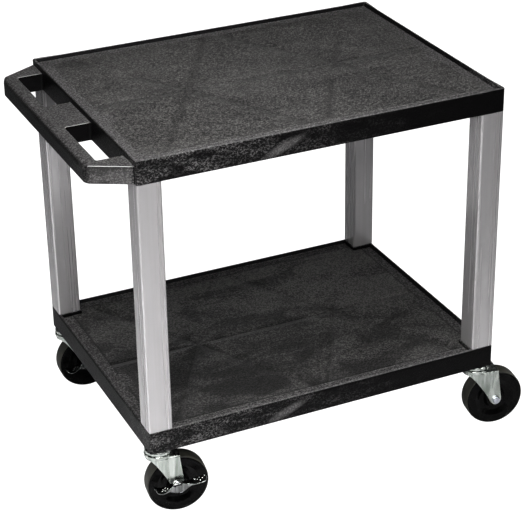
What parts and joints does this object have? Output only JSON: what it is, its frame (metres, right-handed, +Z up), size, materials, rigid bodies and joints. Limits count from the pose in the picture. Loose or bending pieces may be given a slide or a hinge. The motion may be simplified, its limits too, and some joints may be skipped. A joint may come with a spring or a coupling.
{
  "type": "audio visual cart",
  "caption": "Black tray shelves on pale square legs with a moulded push handle, on swivel casters with pedal brakes, for rolling audio visual equipment around.",
  "frame": {"origin": "on the floor, under the middle of the bounding box", "axes": "+X from the push handle to the plain end, +Y from the front side to the back side, +Z up"},
  "size_m": [0.735, 0.4984, 0.6095],
  "materials": {
    "shelf_plastic": "black moulded structural foam, pebbled inside the lips",
    "leg_plastic": "pale warm grey extruded plastic, satin",
    "bar_aluminium": "mill finish flat bar",
    "zinc_plate": "bright zinc plated stamping",
    "stem_steel": "plain turned steel",
    "bearing_steel": "dark greased steel",
    "wheel_rubber": "hard black rubber, glossy moulded sides",
    "bush_nylon": "natural nylon",
    "socket_nylon": "black nylon"
  },
  "bodies": {
    "cart": {"back_left_socket_sleeve": "socket_nylon", "back_left_stem": "stem_steel", "back_left_upper_race": "zinc_plate", "back_right_socket_sleeve": "socket_nylon", "back_right_stem": "stem_steel", "back_right_upper_race": "zinc_plate", "bottom_bar_back": "bar_aluminium", "bottom_bar_front": "bar_aluminium", "bottom_shelf": "shelf_plastic", "front_left_socket_sleeve": "socket_nylon", "front_left_stem": "stem_steel", "front_left_upper_race": "zinc_plate", "front_right_socket_sleeve": "socket_nylon", "front_right_stem": "stem_steel", "front_right_upper_race": "zinc_plate", "leg_back_left": "leg_plastic", "leg_back_right": "leg_plastic", "leg_front_left": "leg_plastic", "leg_front_right": "leg_plastic", "top_bar_back": "bar_aluminium", "top_bar_front": "bar_aluminium", "top_shelf": "shelf_plastic"},
    "front_left_caster": {"front_left_fork": "zinc_plate", "front_left_ball_ring": "bearing_steel", "front_left_axle_bolt": "zinc_plate", "front_left_axle_nut": "zinc_plate", "front_left_axle_spacer": "stem_steel", "front_left_brake_cam": "zinc_plate"},
    "front_left_roller": {"front_left_wheel": "wheel_rubber", "front_left_wheel_bush": "bush_nylon"},
    "front_left_pedal": {"front_left_brake_pedal": "zinc_plate"},
    "front_right_caster": {"front_right_fork": "zinc_plate", "front_right_ball_ring": "bearing_steel", "front_right_axle_bolt": "zinc_plate", "front_right_axle_nut": "zinc_plate", "front_right_axle_spacer": "stem_steel"},
    "front_right_roller": {"front_right_wheel": "wheel_rubber", "front_right_wheel_bush": "bush_nylon"},
    "back_left_caster": {"back_left_fork": "zinc_plate", "back_left_ball_ring": "bearing_steel", "back_left_axle_bolt": "zinc_plate", "back_left_axle_nut": "zinc_plate", "back_left_axle_spacer": "stem_steel", "back_left_brake_cam": "zinc_plate"},
    "back_left_roller": {"back_left_wheel": "wheel_rubber", "back_left_wheel_bush": "bush_nylon"},
    "back_left_pedal": {"back_left_brake_pedal": "zinc_plate"},
    "back_right_caster": {"back_right_fork": "zinc_plate", "back_right_ball_ring": "bearing_steel", "back_right_axle_bolt": "zinc_plate", "back_right_axle_nut": "zinc_plate", "back_right_axle_spacer": "stem_steel"},
    "back_right_roller": {"back_right_wheel": "wheel_rubber", "back_right_wheel_bush": "bush_nylon"}
  },
  "joints": [
    {"name": "front_left_swivel", "type": "hinge", "parent": "cart", "child": "front_left_caster", "pos_m": [-0.28463, -0.19972, 0.1165], "axis": [0, 0, 1], "continuous": true},
    {"name": "front_left_roll", "type": "hinge", "parent": "front_left_caster", "child": "front_left_roller", "pos_m": [-0.25789, -0.20348, 0.0494], "axis": [0.1392, 0.9903, 0], "continuous": true},
    {"name": "front_left_brake", "type": "hinge", "parent": "front_left_caster", "child": "front_left_pedal", "pos_m": [-0.25789, -0.20348, 0.0494], "axis": [0.1392, 0.9903, 0], "range_deg": [-12.5, 25]},
    {"name": "front_right_swivel", "type": "hinge", "parent": "cart", "child": "front_right_caster", "pos_m": [0.28557, -0.19972, 0.1165], "axis": [0, 0, 1], "continuous": true},
    {"name": "front_right_roll", "type": "hinge", "parent": "front_right_caster", "child": "front_right_roller", "pos_m": [0.31717, -0.20472, 0.0494], "axis": [0.1564, 0.9877, 0], "continuous": true},
    {"name": "back_left_swivel", "type": "hinge", "parent": "cart", "child": "back_left_caster", "pos_m": [-0.28463, 0.21808, 0.1165], "axis": [0, 0, 1], "continuous": true},
    {"name": "back_left_roll", "type": "hinge", "parent": "back_left_caster", "child": "back_left_roller", "pos_m": [-0.25767, 0.21667, 0.0494], "axis": [0.0523, 0.9986, 0], "continuous": true},
    {"name": "back_left_brake", "type": "hinge", "parent": "back_left_caster", "child": "back_left_pedal", "pos_m": [-0.25767, 0.21667, 0.0494], "axis": [0.0523, 0.9986, 0], "range_deg": [0, 37.5]},
    {"name": "back_right_swivel", "type": "hinge", "parent": "cart", "child": "back_right_caster", "pos_m": [0.28557, 0.21808, 0.1165], "axis": [0, 0, 1], "continuous": true},
    {"name": "back_right_roll", "type": "hinge", "parent": "back_right_caster", "child": "back_right_roller", "pos_m": [0.31749, 0.22031, 0.0494], "axis": [-0.0698, 0.9976, 0], "continuous": true}
  ]
}
